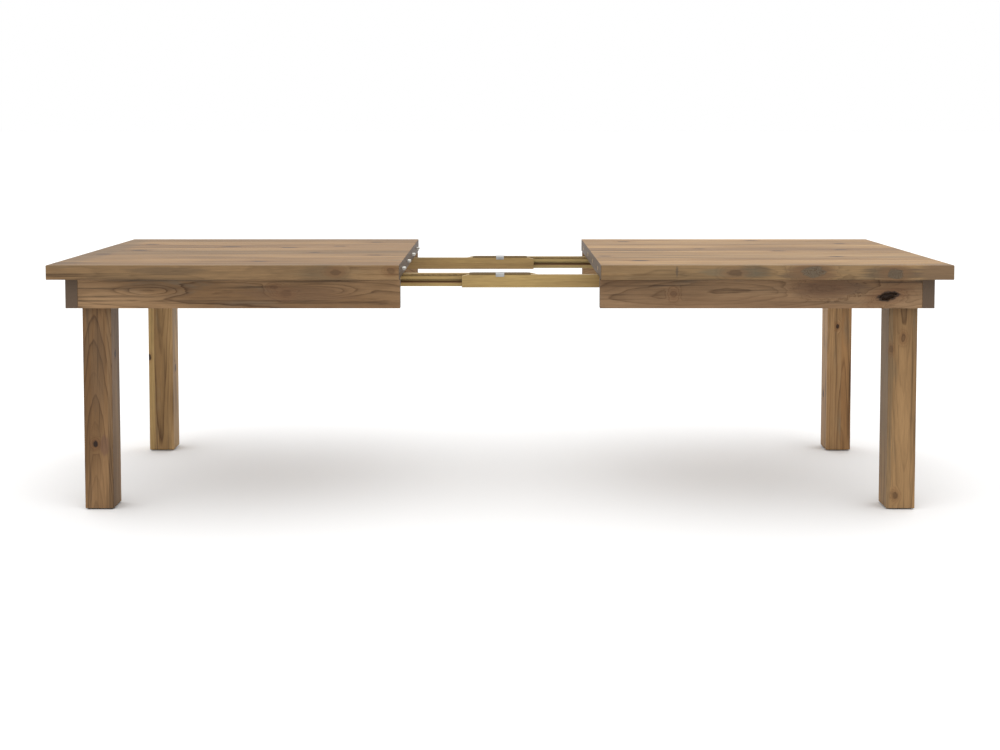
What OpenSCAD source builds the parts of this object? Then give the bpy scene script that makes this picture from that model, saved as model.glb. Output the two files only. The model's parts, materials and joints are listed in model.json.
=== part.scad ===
// Extendable dining table: two half tables on two wooden equalizer slides.
// X runs along the table, Y across it (front is -Y), Z up. Millimetres.
// The origin is on the floor under the middle of the table, drawn pulled open.
// In every module s is the half (-1 left, 1 right) and t is the side (-1 front, 1 back).

/* [Table] */
// Length of the table when its halves are pushed together
closed_length = 2133.6; // [1700:0.1:2600]
// Gap between the two halves as drawn
leaf_gap = 609.6; // [450:0.1:760]
// Width of the top
table_width = 1016; // [840:0.1:1250]
// Height of the top face above the floor
table_height = 765; // [620:0.5:920]
// Thickness of the top
top_thick = 44.45; // [36:0.05:56]
// Overhang of the top past the aprons
overhang = 44.45; // [20:0.05:70]

/* [Aprons] */
// Height of the aprons
apron_height = 92; // [76:0.5:120]
// Thickness of the front and back aprons
side_apron_thick = 24.5; // [20.5:0.5:32]
// Thickness of the end aprons
end_apron_thick = 38; // [25:0.5:46]
// Radius of the corner dowels
dowel_radius = 5; // [3:0.5:6]
// Length of the corner dowels
dowel_length = 46; // [30:1:60]

/* [Legs] */
// Side of the square legs
leg_side = 88; // [70:0.5:110]
// Space between a leg and its end apron
leg_end_gap = 6.15; // [2:0.05:15]
// Width cut off the leg's inner corner on each side
leg_flat = 18; // [10:0.5:26]
// Thickness of the floor glides
glide_thick = 3; // [2:0.5:6]
// Radius of the floor glides
glide_radius = 22; // [12:1:30]

/* [Corner blocks] */
// Thickness of the corner blocks
block_thick = 30; // [22:0.5:40]
// Height of the corner blocks
block_height = 70; // [56:1:74]
// Space between the leg's flat and the block
block_gap = 8; // [3:0.5:14]
// Radius of the hanger bolts
bolt_radius = 4; // [3:0.5:5]
// Length of the hanger bolts inside the leg
bolt_in_leg = 50; // [35:1:60]
// Height between the two bolts of a leg
bolt_pitch = 36; // [24:1:44]

/* [Slides] */
// Distance of each slide's mating plane from the table's centre line
slide_y = 293; // [250:0.5:320]
// Width of one rail
rail_width = 35; // [30:0.5:42]
// Height of one rail's free part
rail_height = 40; // [34:0.5:48]
// Space between a rail's free part and the top's underside
rail_relief = 3.2; // [3.2:0.1:8]
// Space between the two mating faces of a slide
rail_play = 0.5; // [0.3:0.1:1]
// Length over which the rails of a slide overlap as drawn
rail_overlap = 240; // [220:1:300]
// Length of a rail under its own half
rail_seat = 450; // [380:1:540]
// Length of the bevel on a rail's free end
bevel_length = 19; // [8:1:30]
// Depth of the bevel on a rail's free end
bevel_depth = 4.5; // [2:0.5:7]
// How far the halves open past the gap as drawn
over_travel = 50.8; // [20:0.1:60]

/* [Slide carriages] */
// Length of the cover plate over the two rails
cover_length = 194; // [170:1:230]
// Thickness of the cover plate
cover_thick = 1.1; // [0.8:0.1:1.4]
// Width of the steel strap
strap_width = 27; // [20:0.5:40]
// Thickness of the steel strap
strap_thick = 1.2; // [0.8:0.1:1.4]
// Depth of the strap's lips down the rails' outer faces
strap_lip = 6; // [3:0.5:12]
// Length of the sliding key
key_length = 140; // [120:1:150]
// Gap under the cover plate and beside the strap's lips
carriage_clear = 0.2; // [0.1:0.05:0.4]
// Gap round the sliding key
key_clear = 0.3; // [0.2:0.05:0.6]

/* [Rack and pinion] */
// Tooth module
gear_module = 1.25; // [1:0.05:1.4]
// Height of the racks
rack_height = 8; // [6:0.5:10]
// Backlash taken off each tooth's width
backlash = 0.24; // [0.15:0.01:0.4]
// Radius of the pinion pin
gear_pin_radius = 2.5; // [2:0.1:2.8]
// Radial clearance of the pinion on its pin
gear_pin_clear = 0.05; // [0.02:0.01:0.1]

/* [Alignment pins] */
// Radius of the pins on the left half
pin_radius = 4.75; // [4:0.05:6]
// Length that the pins stand out
pin_out = 12; // [8:0.5:16]
// Depth of a pin's shank in the top
pin_in = 25; // [15:1:35]
// Spacing of the pins
pin_pitch = 243; // [180:1:260]
// Radial clearance of a pin in its bush
bush_clear = 0.25; // [0.1:0.05:0.5]

/* [Table locks] */
// Distance of each lock from the table's centre line
lock_y = 195; // [150:1:205]
// Distance of the lock's pivot from the inner edge
lock_set_back = 44; // [40:1:60]
// Distance of the lock's keeper from the inner edge
keeper_set_back = 22; // [18:1:30]

/* [Hidden] */
$fn = 48;

hole_clear = 0.05;            // radial, round every screw, bolt, dowel and shank
bolt_hole_clear = 0.5;        // radial, where a hanger bolt passes its block
inner_x = leaf_gap / 2;
outer_x = inner_x + closed_length / 2;
half_width = table_width / 2;
under_z = table_height - top_thick;
apron_x = outer_x - overhang;             // outer faces of the aprons
apron_y = half_width - overhang;
corner_x = apron_x - end_apron_thick;     // inner faces of the aprons
corner_y = apron_y - side_apron_thick;
apron_z = under_z - apron_height;
apron_mid_z = under_z - apron_height / 2;
leg_x = corner_x - leg_end_gap;           // outer face of a leg
flat_reach = (leg_end_gap + 2 * leg_side - leg_flat) / sqrt(2);
block_reach = flat_reach + block_gap;     // corner to the block's near face
block_back = block_reach + block_thick;

// Sections of a slide, with u out from the mating plane and v up from the rail's bottom
rail_z = under_z - rail_relief - rail_height;
groove_v = rail_height - 22;              // middle height of the key's dovetail groove
groove_deep = 10;
mouth_half = 4;                           // half the groove's height at its mouth
groove_half = 6;                          // and at its bottom
rebate_wide = 12;                         // the rack's rebate, from the mating plane
rebate_v = rail_height - 8.5;
slot_half = 3.4;                          // the slot that the pinion's pin slides in
face_u = rail_play / 2;
groove_u = face_u + groove_deep;
lane_u = face_u + rail_width;             // outer side of a rail
free_end = rail_overlap / 2;
seat_end = inner_x + rail_seat;           // where a rail ends under its own half
cover_reach = inner_x + cover_length / 2;
mount_start = cover_reach + 13;           // a rail is full height from here
closed_reach = leaf_gap + free_end;       // where the other half's rail ends when closed
cover_v = rail_height + carriage_clear;
cover_slope = 24;                         // the slanted end of a cover plate
strap_v = cover_v + cover_thick;
strap_top_v = strap_v + strap_thick;

// Stops that the key meets when the table is fully open: the key has then moved half the
// over-travel, and the rail all of it
stop_radius = 2.5;
stop_gap = 0.5;
stop_x = key_length / 2 + over_travel / 2 + stop_radius + stop_gap;
stop_inset = 6;                           // from the mating face
stop_u = face_u + stop_inset;
stop_depth = 28;

// Rack and pinion
teeth = 12;
pressure = 25;
gear_radius = gear_module * teeth / 2;
tip_radius = gear_radius + gear_module;
root_depth = 1.25 * gear_module;
root_radius = gear_radius - root_depth;
base_radius = gear_radius * cos(pressure);
tooth_pitch = PI * gear_module;
rack_tail = 25;                           // rack past the pinion's last place
rack_end = over_travel / 2 + rack_tail;
rack_start = inner_x + rack_tail;
pinion_lift = 0.8;                        // pinion above the racks' lower faces
pinion_v = rebate_v + pinion_lift;
pinion_height = rack_height - 1.2;
collar_radius = gear_pin_radius + 0.5;
collar_gap = 0.2;                         // collar's top to the pinion
pin_root = 0.3;                           // how far the pin runs into its collar

// Fastenings
screw_radius = 2.2;
screw_head_radius = 4.2;
screw_head = 2.4;
head_well_radius = 5;
rail_screw_length = 58;
rail_well = 8;
rail_screw_margin = 32;                   // from each end of a rail's seat
rail_screw_shift = 1;                     // off the rail's middle, away from the mating plane
rail_screws_x = [for (i = [0:3]) mount_start + rail_screw_margin
    + i * (seat_end - mount_start - 2 * rail_screw_margin) / 3];
batten_width = 70;
batten_height = 22;
batten_x = closed_reach + 120;
batten_reach = slide_y + lane_u + 20;
batten_screw_length = 38;
batten_screws_y = [70, 200];
block_screw_length = 30;
block_screw_pitch = 34;
clip_radius = 9.5;
clip_thick = 2.2;
clip_pitch = 20;
clip_inset = side_apron_thick / 2;        // apron's inner face to the clip's fixed screw
clip_waist = 10;                          // width of the neck between a clip's two rounds
clip_sink = 1.6;                          // depth of the countersink in a clip
clip_screw_length = 24;
clip_screw_flush = 1.5;                   // height of a countersunk head
clip_screw_shank = 19;                    // the shank that goes into an apron
clip_margin = 90;
clip_end_y = 115;
clip_leg_room = 2.3 * block_back;         // corner to the last clip, past the block
side_clips_x = [for (i = [0:2])
    inner_x + clip_margin + i * (corner_x - clip_leg_room - inner_x - clip_margin) / 2];

// Leg hardware
washer_thick = 2;
washer_radius = 11;
washer_clear = 0.3;
nut_height = 6.5;
nut_flats = 13;
bolt_past_nut = 4;

// Alignment pins and bushes
pin_z = table_height - top_thick / 2;
pin_shank_radius = pin_radius + 0.45;
pin_tip = 2;
bush_radius = pin_radius + bush_clear;
bush_outer = bush_radius + 2;
bush_length = pin_out + 2;
pin_rows = [-1.5, -0.5, 0.5, 1.5];

// Table locks
plate_thick = 2;
plate_length = 50;
plate_width = 30;
keeper_width = 18;
rivet_head = 2.4;
rivet_rim = 3;
lever_thick = 3;
lever_gap = 0.3;
pivot_radius = 3;
lever_width = 16;
post_radius = 3.5;
post_clear = 0.6;
lock_screw_length = 18;
lock_screws = [15, 30];                   // from the pivot or post, away from the middle
plate_toe = 12;
lock_reach = lock_set_back + keeper_set_back;   // pivot to the keeper's post when closed
lock_pivot_x = -inner_x - lock_set_back;
keeper_x = inner_x + keeper_set_back;

// ---------- shared shapes ----------

// A box between two corners, given in any order
module block(a, b) {
    low = [for (i = [0:2]) min(a[i], b[i])];
    high = [for (i = [0:2]) max(a[i], b[i])];
    translate(low) cube(high - low);
}

// A round-head screw pointing up, its head's flat on the plane below the work
module screw(length) {
    tip = 5;
    translate([0, 0, -screw_head]) cylinder(h = screw_head, r = screw_head_radius);
    cylinder(h = length - tip, r = screw_radius);
    translate([0, 0, length - tip]) cylinder(h = tip, r1 = screw_radius, r2 = 0.5);
}

module screw_hole(length) {
    translate([0, 0, -1]) cylinder(h = length + 1.5, r = screw_radius + hole_clear);
}

// Turns a shape drawn along +X of the right half's back corner into corner s, t
module corner(s, t) {
    mirror([s < 0 ? 1 : 0, 0, 0]) mirror([0, t < 0 ? 1 : 0, 0]) children();
}

// Along the diagonal of a corner, from the aprons' meeting point towards the table's middle
module diagonal() {
    translate([corner_x, corner_y, 0]) rotate([0, 0, 225]) children();
}

// ---------- places of the fastenings ----------

module at_rail_screws(s, t) {
    u = slide_y + s * (lane_u / 2 + rail_screw_shift);
    for (x = rail_screws_x) translate([s * x, t * u, rail_z + rail_well])
        children();
}

module at_batten_screws(s) {
    for (t = [-1, 1], y = batten_screws_y)
        translate([s * (batten_x + batten_width / 2), t * y, under_z - batten_height]) children();
}

module at_side_clips(s) {
    for (t = [-1, 1], x = side_clips_x)
        translate([s * x, t * (corner_y + clip_inset), under_z - clip_thick])
            rotate([0, 0, t > 0 ? 180 : 0]) children();
}

module at_end_clips(s) {
    for (t = [-1, 1])
        translate([s * (corner_x + clip_inset), t * clip_end_y, under_z - clip_thick])
            rotate([0, 0, s > 0 ? 90 : -90]) children();
}

module at_clips(s) {
    at_side_clips(s) children();
    at_end_clips(s) children();
}

module at_bolts() {
    for (k = [-1, 1]) translate([0, 0, apron_mid_z + k * bolt_pitch / 2])
        rotate([0, 90, 0]) children();
}

module at_dowels() {
    for (k = [-1, 1])
        translate([corner_x + dowel_length / 3 - dowel_length, apron_y - side_apron_thick / 2,
            apron_mid_z + k * apron_height / 4]) rotate([0, 90, 0]) children();
}

module at_block_screws() {
    mid = (block_reach + block_back) / sqrt(2);
    deep = (block_back - block_reach) / sqrt(2) / 2 + 4;
    for (k = [-1, 1], z = [apron_mid_z + k * block_screw_pitch / 2]) {
        translate([corner_x - mid, corner_y - deep, z]) rotate([-90, 0, 0]) children();
        translate([corner_x - deep, corner_y - mid, z]) rotate([0, 90, 0]) children();
    }
}

module at_pins() {
    for (row = pin_rows) translate([0, row * pin_pitch, pin_z]) rotate([0, 90, 0]) children();
}

module at_plate_screws() {
    for (t = [-1, 1], k = lock_screws)
        translate([lock_pivot_x, t * (lock_y + k), under_z - plate_thick]) children();
}

module at_keeper_screws() {
    for (t = [-1, 1], k = lock_screws)
        translate([keeper_x, t * (lock_y + k), under_z - plate_thick]) children();
}

// ---------- wooden frame ----------

module top(s) {
    color([0.69, 0.60, 0.49]) difference() {
        block([s * inner_x, -half_width, under_z], [s * outer_x, half_width, table_height]);
        for (t = [-1, 1]) at_rail_screws(s, t) screw_hole(rail_screw_length);
        at_batten_screws(s) screw_hole(batten_screw_length);
        at_clips(s) translate([0, clip_pitch, 0]) screw_hole(clip_screw_length);
        if (s < 0) {
            at_plate_screws() screw_hole(lock_screw_length);
            translate([-inner_x, 0, 0]) at_pins()
                translate([0, 0, -pin_in]) cylinder(h = pin_in + 1, r = pin_shank_radius + hole_clear);
        } else {
            at_keeper_screws() screw_hole(lock_screw_length);
            translate([inner_x, 0, 0]) at_pins()
                translate([0, 0, -1]) cylinder(h = bush_length + 1, r = bush_outer + hole_clear);
        }
    }
}

module clip_pocket() {
    r = clip_radius + 0.5;
    cylinder(h = clip_thick + 1, r = r);
    translate([-r, 0, 0]) cube([2 * r, clip_pitch + r, clip_thick + 1]);
}

module clip_pilot() {
    translate([0, 0, -clip_screw_length]) cylinder(h = clip_screw_length + 1, r = screw_radius + hole_clear);
}

module side_apron(s, t) {
    color([0.50, 0.39, 0.28]) difference() {
        block([s * inner_x, t * corner_y, apron_z], [s * corner_x, t * apron_y, under_z]);
        at_side_clips(s) { clip_pocket(); clip_pilot(); }
        corner(s, t) {
            at_dowels() cylinder(h = dowel_length, r = dowel_radius + hole_clear);
            at_block_screws() screw_hole(block_screw_length);
        }
    }
}

module end_apron(s) {
    color([0.50, 0.39, 0.28]) difference() {
        block([s * corner_x, -apron_y, apron_z], [s * apron_x, apron_y, under_z]);
        at_end_clips(s) { clip_pocket(); clip_pilot(); }
        for (t = [-1, 1]) corner(s, t) {
            at_dowels() cylinder(h = dowel_length + 0.5, r = dowel_radius + hole_clear);
            at_block_screws() screw_hole(block_screw_length);
        }
    }
}

module leg(s, t) {
    reach = leg_end_gap + 2 * leg_side;
    color([0.52, 0.41, 0.29]) corner(s, t) difference() {
        block([leg_x - leg_side, corner_y - leg_side, glide_thick], [leg_x, corner_y, under_z]);
        // the inner corner is cut flat where the bolts enter, from the aprons' lower edge up
        diagonal() translate([flat_reach, -reach, apron_z]) cube([leg_flat * 2, 2 * reach, apron_height + 1]);
        diagonal() at_bolts() translate([0, 0, flat_reach - bolt_in_leg - 1])
            cylinder(h = bolt_in_leg + 2, r = bolt_radius + hole_clear);
    }
}

module glides(s) {
    color([0.78, 0.76, 0.72]) for (t = [-1, 1]) corner(s, t)
        translate([leg_x - leg_side / 2, corner_y - leg_side / 2, 0])
            cylinder(h = glide_thick, r = glide_radius);
}

module corner_blocks(s) {
    near = block_reach * sqrt(2);
    far = block_back * sqrt(2);
    low = apron_mid_z - block_height / 2;
    color([0.62, 0.50, 0.33]) for (t = [-1, 1]) corner(s, t) difference() {
        translate([corner_x, corner_y, low]) linear_extrude(block_height)
            polygon([[-near, 0], [0, -near], [0, -far], [-far, 0]]);
        diagonal() at_bolts() cylinder(h = 2 * block_back, r = bolt_radius + bolt_hole_clear);
        at_block_screws() {
            screw_hole(block_screw_length);
            mirror([0, 0, 1]) cylinder(h = block_thick, r = head_well_radius);
        }
    }
}

// Screws of the corner blocks and of the batten
module frame_screws(s) {
    color([0.35, 0.34, 0.32]) {
        for (t = [-1, 1]) corner(s, t) at_block_screws() screw(block_screw_length);
        at_batten_screws(s) screw(batten_screw_length);
    }
}

module apron_dowels(s) {
    color([0.80, 0.66, 0.44]) for (t = [-1, 1]) corner(s, t)
        at_dowels() cylinder(h = dowel_length, r = dowel_radius);
}

// ---------- leg hardware ----------

module hanger_bolts(s) {
    end = block_back + washer_thick + nut_height + bolt_past_nut;
    start = flat_reach - bolt_in_leg;
    color([0.72, 0.71, 0.68]) for (t = [-1, 1]) corner(s, t) diagonal() at_bolts()
        translate([0, 0, start]) cylinder(h = end - start, r = bolt_radius);
}

module bolt_washers(s) {
    color([0.72, 0.71, 0.68]) for (t = [-1, 1]) corner(s, t) diagonal() at_bolts()
        translate([0, 0, block_back]) difference() {
            cylinder(h = washer_thick, r = washer_radius);
            translate([0, 0, -1]) cylinder(h = washer_thick + 2, r = bolt_radius + washer_clear);
        }
}

module bolt_nuts(s) {
    color([0.72, 0.71, 0.68]) for (t = [-1, 1]) corner(s, t) diagonal() at_bolts()
        translate([0, 0, block_back + washer_thick]) difference() {
            cylinder(h = nut_height, r = nut_flats / 2 / cos(30), $fn = 6);
            translate([0, 0, -1]) cylinder(h = nut_height + 2, r = bolt_radius + hole_clear);
        }
}

// ---------- stretch under the top ----------

module cross_batten(s) {
    color([0.60, 0.47, 0.32]) difference() {
        block([s * batten_x, -batten_reach, under_z - batten_height],
            [s * (batten_x + batten_width), batten_reach, under_z]);
        at_batten_screws(s) screw_hole(batten_screw_length);
    }
}

// A figure-8 fastener: one hole on the apron, one under the top
module top_clips(s) {
    hole = screw_radius + hole_clear;
    color([0.66, 0.64, 0.60]) at_clips(s) difference() {
        union() {
            cylinder(h = clip_thick, r = clip_radius);
            translate([0, clip_pitch, 0]) cylinder(h = clip_thick, r = clip_radius);
            translate([-clip_waist / 2, 0, 0]) cube([clip_waist, clip_pitch, clip_thick]);
        }
        for (y = [0, clip_pitch]) translate([0, y, -1]) cylinder(h = clip_thick + 2, r = hole);
        // countersink for the screw into the apron, whose head lies under the top
        translate([0, 0, clip_thick - clip_sink]) cylinder(h = clip_thick, r = screw_head_radius + 0.3);
    }
}

module clip_screws(s) {
    color([0.35, 0.34, 0.32]) at_clips(s) {
        translate([0, clip_pitch, 0]) screw(clip_screw_length);
        translate([0, 0, clip_thick - clip_sink]) mirror([0, 0, 1]) {
            translate([0, 0, -clip_screw_flush]) cylinder(h = clip_screw_flush, r = screw_head_radius);
            cylinder(h = clip_screw_shank, r = screw_radius);
        }
    }
}

// ---------- equalizer slides ----------

// One rail's section, u along X and v along Y, its full height at the seat
function rail_outline(height) = [
    [face_u, 0], [lane_u, 0], [lane_u, height], [rebate_wide, height],
    [rebate_wide, rebate_v], [slot_half, rebate_v],
    [slot_half, groove_v + mouth_half + (slot_half - face_u) * (groove_half - mouth_half) / groove_deep],
    [groove_u, groove_v + groove_half], [groove_u, groove_v - groove_half],
    [face_u, groove_v - mouth_half]
];

// Sweeps a section from x = a to x = b. The section's u runs away from the mating plane:
// outwards on the right half's rails, inwards on the left half's.
module sweep(s, t, a, b) {
    low = min(a, b);
    translate([low, t * slide_y, rail_z]) mirror([0, s * t > 0 ? 0 : 1, 0])
        rotate([90, 0, 90]) linear_extrude(abs(b - a)) children();
}

module rail(s, t) {
    color([0.58, 0.48, 0.30]) difference() {
        union() {
            sweep(s, t, -s * free_end, s * seat_end) polygon(rail_outline(rail_height));
            sweep(s, t, s * mount_start, s * seat_end)
                translate([rebate_wide, rail_height - 1]) square([lane_u - rebate_wide, rail_relief + 1]);
        }
        // bevel on the free end's top edge
        translate([-s * free_end, t * slide_y, rail_z + rail_height]) mirror([s > 0 ? 0 : 1, 0, 0])
            rotate([90, 0, 0]) translate([0, 0, -2 * rail_width]) linear_extrude(4 * rail_width)
                polygon([[-1, 1], [-1, -bevel_depth], [0, -bevel_depth], [bevel_length, 0], [bevel_length, 1]]);
        at_rail_screws(s, t) {
            screw_hole(rail_screw_length);
            mirror([0, 0, 1]) cylinder(h = rail_well + 1, r = head_well_radius);
        }
        at_stop(s, t) cylinder(h = stop_depth + 0.5, r = stop_radius + hole_clear);
    }
}

module rail_screws(s) {
    color([0.35, 0.34, 0.32]) for (t = [-1, 1]) at_rail_screws(s, t) screw(rail_screw_length);
}

module at_stop(s, t) {
    translate([-s * stop_x, t * (slide_y + s * stop_u), rail_z]) children();
}

module rail_stops(s) {
    color([0.66, 0.64, 0.60]) for (t = [-1, 1]) at_stop(s, t) cylinder(h = stop_depth, r = stop_radius);
}

// A rack's outline from x = -run to x = +run, tooth tips at y = gear_radius - gear_module,
// with a gap between teeth at x = 0. Its back is at y = rebate_wide.
function rack_half(v) = tooth_pitch / 4 - v * tan(pressure) - backlash / 4;
function rack_points(from, to) = concat(
    [for (i = [ceil(from / tooth_pitch):floor(to / tooth_pitch - 1)], k = [0:3])
        let (c = (i + 0.5) * tooth_pitch,
            tip = rack_half(gear_module), foot = rack_half(-root_depth))
        k == 0 ? [c - foot, gear_radius + root_depth]
        : k == 1 ? [c - tip, gear_radius - gear_module]
        : k == 2 ? [c + tip, gear_radius - gear_module]
        : [c + foot, gear_radius + root_depth]],
    [[to, gear_radius + root_depth], [to, rebate_wide], [from, rebate_wide],
        [from, gear_radius + root_depth]]);

module rack(s, t) {
    color([0.45, 0.44, 0.42])
        translate([0, t * slide_y, rail_z + rebate_v]) mirror([s > 0 ? 0 : 1, 0, 0])
            mirror([0, s * t > 0 ? 0 : 1, 0]) linear_extrude(rack_height)
                polygon(rack_points(-rack_end, rack_start));
}

// ---------- slide carriages ----------

module slide_cover(t) {
    w = 2 * lane_u;
    color([0.36, 0.25, 0.13]) difference() {
        translate([-cover_length / 2, t * slide_y - lane_u, rail_z + cover_v])
            linear_extrude(cover_thick) polygon([[0, cover_slope / 4], [cover_slope / 2, 0],
                [cover_length - cover_slope / 2, 0], [cover_length, cover_slope / 4],
                [cover_length, w - cover_slope / 4], [cover_length - cover_slope / 2, w],
                [cover_slope / 2, w], [0, w - cover_slope / 4]]);
        translate([0, t * slide_y, rail_z]) cylinder(h = 2 * rail_height, r = gear_pin_radius + hole_clear);
    }
}

module slide_strap(t) {
    side = lane_u + carriage_clear;
    color([0.62, 0.62, 0.60]) translate([0, t * slide_y, rail_z]) {
        translate([-strap_width / 2, -side - strap_thick, strap_v])
            cube([strap_width, 2 * (side + strap_thick), strap_thick]);
        for (k = [-1, 1])
            block([-strap_width / 2, k * side, strap_v - cover_thick - strap_lip],
                [strap_width / 2, k * (side + strap_thick), strap_v + strap_thick / 2]);
        // the pinion's pin, riveted into the strap and the key
        translate([0, 0, groove_v - mouth_half + key_clear])
            cylinder(h = pinion_v - collar_gap - groove_v + mouth_half - key_clear, r = collar_radius);
        translate([0, 0, pinion_v - pin_root])
            cylinder(h = strap_v - pinion_v + pin_root + 0.1, r = gear_pin_radius);
    }
}

module slide_key(t) {
    wide = groove_u - 0.1 - key_clear;
    mid = mouth_half - key_clear;
    side = mid + (wide - face_u) * (groove_half - mouth_half) / groove_deep;
    color([0.55, 0.38, 0.20]) translate([0, t * slide_y, rail_z]) difference() {
        translate([-key_length / 2, 0, groove_v]) rotate([90, 0, 90]) linear_extrude(key_length)
            polygon([[-wide, -side], [-face_u, -mid], [face_u, -mid], [wide, -side],
                [wide, side], [face_u, mid], [-face_u, mid], [-wide, side]]);
        translate([0, 0, groove_v - rail_height]) cylinder(h = 2 * rail_height, r = collar_radius + hole_clear);
    }
}

// Involute flank as points from the base circle out
function flank(angle) = let (a = angle * 180 / PI)
    [base_radius * (cos(a) + angle * sin(a)), base_radius * (sin(a) - angle * cos(a))];
function turned(p, a) = [p[0] * cos(a) - p[1] * sin(a), p[0] * sin(a) + p[1] * cos(a)];
pitch_polar = (tan(pressure) * 180 / PI) - pressure;      // polar angle of the flank there
tip_roll = sqrt(pow(tip_radius / base_radius, 2) - 1);
half_tooth = 90 / teeth - backlash / 4 / gear_radius * 180 / PI;
function tooth_points(at) = concat(
    [turned([root_radius, 0], at - half_tooth - pitch_polar - 1)],
    [for (k = [0:5]) turned(flank(tip_roll * k / 5), at - half_tooth - pitch_polar)],
    [for (k = [5:-1:0]) let (p = flank(tip_roll * k / 5)) turned([p[0], -p[1]], at + half_tooth + pitch_polar)],
    [turned([root_radius, 0], at + half_tooth + pitch_polar + 1)]);

module pinion(t) {
    color([0.72, 0.58, 0.30]) translate([0, t * slide_y, rail_z + pinion_v]) difference() {
        linear_extrude(pinion_height)
            polygon([for (i = [0:teeth - 1]) each tooth_points(i * 360 / teeth)]);
        translate([0, 0, -1]) cylinder(h = pinion_height + 2, r = gear_pin_radius + gear_pin_clear);
    }
}

// ---------- alignment pins and table locks ----------

module alignment_pins() {
    color([0.80, 0.80, 0.78]) translate([-inner_x, 0, 0]) at_pins() {
        translate([0, 0, -pin_in]) cylinder(h = pin_in, r = pin_shank_radius);
        cylinder(h = pin_out - pin_tip, r = pin_radius);
        translate([0, 0, pin_out - pin_tip])
            cylinder(h = pin_tip, r1 = pin_radius, r2 = pin_radius - pin_tip);
    }
}

module socket_bushes() {
    color([0.74, 0.60, 0.34]) translate([inner_x, 0, 0]) at_pins() difference() {
        cylinder(h = bush_length, r = bush_outer);
        translate([0, 0, -1]) cylinder(h = bush_length + 2, r = bush_radius);
    }
}

module lock_plate(t, x, wide) {
    mirror([0, t > 0 ? 0 : 1, 0])
        translate([x - wide / 2, lock_y - plate_toe, under_z - plate_thick])
            cube([wide, plate_length, plate_thick]);
}

module lock_plates() {
    stem = lever_thick + 2 * lever_gap;
    color([0.66, 0.64, 0.60]) for (t = [-1, 1]) {
        difference() {
            lock_plate(t, lock_pivot_x, plate_width);
            at_plate_screws() screw_hole(lock_screw_length);
        }
        // the lever's rivet
        translate([lock_pivot_x, t * lock_y, under_z - plate_thick - stem - rivet_head]) {
            cylinder(h = stem + rivet_head + 0.1, r = pivot_radius);
            cylinder(h = rivet_head, r = pivot_radius + rivet_rim);
        }
    }
}

// The lever is parked along Y, its tip towards the middle, and swings out over the seam
module lock_lever(t) {
    notch = post_radius + post_clear;
    reach = lock_reach + 4;
    color([0.30, 0.29, 0.28])
        translate([lock_pivot_x, t * lock_y, under_z - plate_thick - lever_gap - lever_thick])
            mirror([0, t > 0 ? 1 : 0, 0]) difference() {
                union() {
                    cylinder(h = lever_thick, r = lever_width / 2);
                    translate([-lever_width / 2, 0, 0]) cube([lever_width, reach, lever_thick]);
                    translate([0, reach, 0]) cylinder(h = lever_thick, r = lever_width / 2);
                }
                translate([0, 0, -1]) cylinder(h = lever_thick + 2, r = pivot_radius + hole_clear);
                translate([0, lock_reach, -1]) cylinder(h = lever_thick + 2, r = notch);
                translate([0, lock_reach - notch, -1]) cube([lever_width, 2 * notch, lever_thick + 2]);
            }
}

module lock_plate_screws() {
    color([0.35, 0.34, 0.32]) at_plate_screws() screw(lock_screw_length);
}

module keeper_screws() {
    color([0.35, 0.34, 0.32]) at_keeper_screws() screw(lock_screw_length);
}

module lock_keepers() {
    post = lever_thick + 2 * lever_gap + 2;
    color([0.66, 0.64, 0.60]) for (t = [-1, 1]) {
        difference() {
            lock_plate(t, keeper_x, keeper_width);
            at_keeper_screws() screw_hole(lock_screw_length);
        }
        translate([keeper_x, t * lock_y, under_z - plate_thick - post])
            cylinder(h = post + 0.1, r = post_radius);
    }
}

top(-1);  // left_top
side_apron(-1, -1);  // left_front_apron
side_apron(-1, 1);  // left_back_apron
end_apron(-1);  // left_end_apron
leg(-1, -1);  // left_front_leg
leg(-1, 1);  // left_back_leg
glides(-1);  // left_glides
corner_blocks(-1);  // left_corner_blocks
apron_dowels(-1);  // left_apron_dowels
hanger_bolts(-1);  // left_hanger_bolts
bolt_washers(-1);  // left_bolt_washers
bolt_nuts(-1);  // left_bolt_nuts
cross_batten(-1);  // left_cross_batten
frame_screws(-1);  // left_frame_screws
top_clips(-1);  // left_top_clips
clip_screws(-1);  // left_clip_screws
rail(-1, -1);  // left_front_rail
rail(-1, 1);  // left_back_rail
rail_screws(-1);  // left_rail_screws
rail_stops(-1);  // left_rail_stops
rack(-1, -1);  // left_front_rack
rack(-1, 1);  // left_back_rack
top(1);  // right_top
side_apron(1, -1);  // right_front_apron
side_apron(1, 1);  // right_back_apron
end_apron(1);  // right_end_apron
leg(1, -1);  // right_front_leg
leg(1, 1);  // right_back_leg
glides(1);  // right_glides
corner_blocks(1);  // right_corner_blocks
apron_dowels(1);  // right_apron_dowels
hanger_bolts(1);  // right_hanger_bolts
bolt_washers(1);  // right_bolt_washers
bolt_nuts(1);  // right_bolt_nuts
cross_batten(1);  // right_cross_batten
frame_screws(1);  // right_frame_screws
top_clips(1);  // right_top_clips
clip_screws(1);  // right_clip_screws
rail(1, -1);  // right_front_rail
rail(1, 1);  // right_back_rail
rail_screws(1);  // right_rail_screws
rail_stops(1);  // right_rail_stops
rack(1, -1);  // right_front_rack
rack(1, 1);  // right_back_rack
alignment_pins();
lock_plates();
lock_plate_screws();
socket_bushes();
lock_keepers();
keeper_screws();
slide_cover(-1);  // front_slide_cover
slide_strap(-1);  // front_slide_strap
slide_key(-1);  // front_slide_key
pinion(-1);  // front_pinion
lock_lever(-1);  // front_lock_lever
slide_cover(1);  // back_slide_cover
slide_strap(1);  // back_slide_strap
slide_key(1);  // back_slide_key
pinion(1);  // back_pinion
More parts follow.
